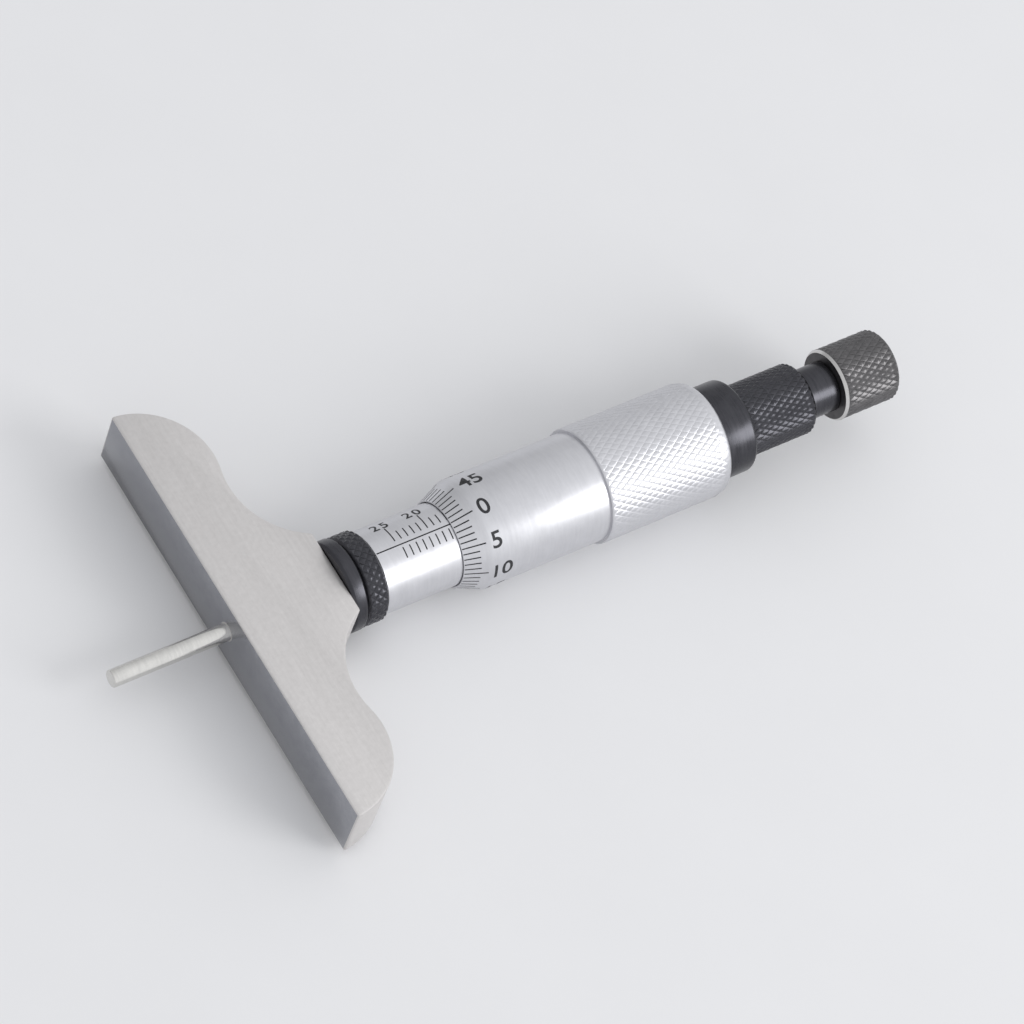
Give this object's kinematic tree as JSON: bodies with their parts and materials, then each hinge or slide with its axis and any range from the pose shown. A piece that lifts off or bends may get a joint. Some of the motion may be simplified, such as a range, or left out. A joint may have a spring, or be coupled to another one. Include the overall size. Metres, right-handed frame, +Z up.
{
  "type": "depth micrometer",
  "caption": "Screw micrometer on a T-shaped base with a thin measuring rod, graduated sleeve and thimble, lock nut, ratchet stop and a cap that holds the rod.",
  "frame": {"origin": "centre of the bounding box's bottom face, on the surface the instrument lies on", "axes": "+X from the rod's tip towards the rod cap along the length, +Z up out of the surface it lies on; the spindle axis rises 2.74 degrees towards +X"},
  "size_m": [0.1208, 0.0636, 0.0175],
  "materials": {
    "ground_steel": "ground satin",
    "satin_chrome": "satin",
    "black_steel": "black oxide",
    "tool_steel": "machined",
    "spring_steel": "drawn",
    "cap_steel": "knurled",
    "bright_steel": "polished"
  },
  "bodies": {
    "base_body": {"base": "ground_steel", "guide_bush": "tool_steel", "barrel": "tool_steel", "collar_ring": "black_steel", "lock_bush": "tool_steel", "sleeve": "satin_chrome", "adjusting_nut": "tool_steel"},
    "lock_body": {"lock_nut": "black_steel"},
    "rod_body": {"measuring_rod": "bright_steel", "rod_adjusting_nut": "tool_steel", "rod_lock_nut": "tool_steel"},
    "thimble_body": {"thimble": "satin_chrome", "spindle": "tool_steel", "ratchet_body": "black_steel", "ratchet_wheel": "tool_steel", "ratchet_nut": "black_steel"},
    "knob_body": {"ratchet_knob": "black_steel", "click_ring": "tool_steel", "ratchet_spring": "spring_steel", "ratchet_washer": "tool_steel"},
    "cap_body": {"rod_cap": "cap_steel"}
  },
  "joints": [
    {"name": "lock_nut_turn", "type": "hinge", "parent": "base_body", "child": "lock_body", "pos_m": [-0.02399, 0, 0.0068], "axis": [0.9989, 0, 0.0478], "range_deg": [0, 30]},
    {"name": "rod_travel", "type": "slide", "parent": "base_body", "child": "rod_body", "axis": [0.9989, 0, 0.0478], "range_m": [-0.008, 0.017]},
    {"name": "thimble_turn", "type": "hinge", "parent": "rod_body", "child": "thimble_body", "pos_m": [0.01657, 0, 0.00874], "axis": [0.9989, 0, 0.0478], "range_deg": [-5760, 12240]},
    {"name": "ratchet_turn", "type": "hinge", "parent": "thimble_body", "child": "knob_body", "pos_m": [0.04054, 0, 0.00989], "axis": [0.9989, 0, 0.0478], "continuous": true},
    {"name": "rod_cap_turn", "type": "hinge", "parent": "thimble_body", "child": "cap_body", "pos_m": [0.05452, 0, 0.01056], "axis": [0.9989, 0, 0.0478], "range_deg": [0, 90]}
  ],
  "couplings": [
    {"joint": "thimble_turn", "follows": "rod_travel", "rad_per_m": 12566}
  ]
}
